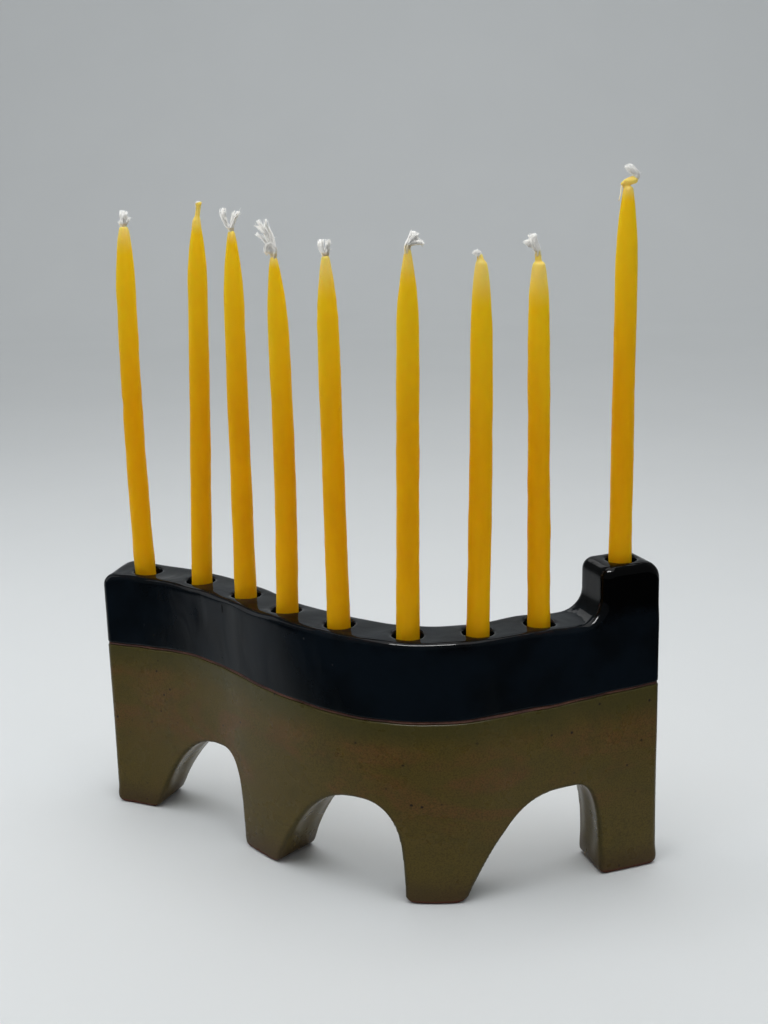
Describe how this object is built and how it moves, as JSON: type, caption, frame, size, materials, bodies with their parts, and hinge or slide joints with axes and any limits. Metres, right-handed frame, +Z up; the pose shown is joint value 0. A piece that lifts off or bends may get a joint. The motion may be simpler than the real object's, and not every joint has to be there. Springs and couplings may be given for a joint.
{
  "type": "menorah",
  "caption": "Wave-shaped glazed ceramic menorah on arched feet, with a row of lift-out taper candles and a raised block at one end for the shamash.",
  "frame": {"origin": "centre of the bounding box's bottom face, on the surface the feet stand on", "axes": "+X along the chord that joins the wave's two ends, towards the shamash's end; +Y to the back; +Z up"},
  "size_m": [0.2554, 0.0814, 0.294],
  "materials": {
    "olive_glaze": "satin olive-brown stoneware glaze, mottled with rust",
    "bare_clay": "thin matt line of bare red-brown clay between the glazes",
    "black_glaze": "very glossy blue-black glaze, breaking brown at its edges",
    "beeswax": "honey-yellow beeswax, satin and slightly translucent",
    "wick_cotton": "off-white twisted cotton, frayed at the end"
  },
  "bodies": {
    "holder": {"lower_arcade": "olive_glaze", "bare_clay_line": "bare_clay", "upper_rail": "black_glaze"},
    "light_1": {"candle_1": "beeswax", "wick_1": "wick_cotton"},
    "light_2": {"candle_2": "beeswax", "wick_2": "wick_cotton"},
    "light_3": {"candle_3": "beeswax", "wick_3": "wick_cotton"},
    "light_4": {"candle_4": "beeswax", "wick_4": "wick_cotton"},
    "light_5": {"candle_5": "beeswax", "wick_5": "wick_cotton"},
    "light_6": {"candle_6": "beeswax", "wick_6": "wick_cotton"},
    "light_7": {"candle_7": "beeswax", "wick_7": "wick_cotton"},
    "light_8": {"candle_8": "beeswax", "wick_8": "wick_cotton"},
    "shamash_light": {"shamash_candle": "beeswax", "shamash_wick": "wick_cotton"}
  },
  "joints": [
    {"name": "candle_1_lift", "type": "slide", "parent": "holder", "child": "light_1", "axis": [0.007, 0.0087, 0.9999], "range_m": [0, 0.02]},
    {"name": "candle_2_lift", "type": "slide", "parent": "holder", "child": "light_2", "axis": [0.0576, -0.0105, 0.9983], "range_m": [0, 0.02]},
    {"name": "candle_3_lift", "type": "slide", "parent": "holder", "child": "light_3", "axis": [0.0157, 0.007, 0.9999], "range_m": [0, 0.02]},
    {"name": "candle_4_lift", "type": "slide", "parent": "holder", "child": "light_4", "axis": [0.0035, -0.007, 1], "range_m": [0, 0.02]},
    {"name": "candle_5_lift", "type": "slide", "parent": "holder", "child": "light_5", "axis": [-0.0035, 0.0105, 0.9999], "range_m": [0, 0.02]},
    {"name": "candle_6_lift", "type": "slide", "parent": "holder", "child": "light_6", "axis": [0.0262, -0.0087, 0.9996], "range_m": [0, 0.02]},
    {"name": "candle_7_lift", "type": "slide", "parent": "holder", "child": "light_7", "axis": [0.0209, 0.0052, 0.9998], "range_m": [0, 0.02]},
    {"name": "candle_8_lift", "type": "slide", "parent": "holder", "child": "light_8", "axis": [-0.0035, 0.0087, 1], "range_m": [0, 0.02]},
    {"name": "shamash_candle_lift", "type": "slide", "parent": "holder", "child": "shamash_light", "axis": [0.0035, -0.0052, 1], "range_m": [0, 0.02]}
  ]
}
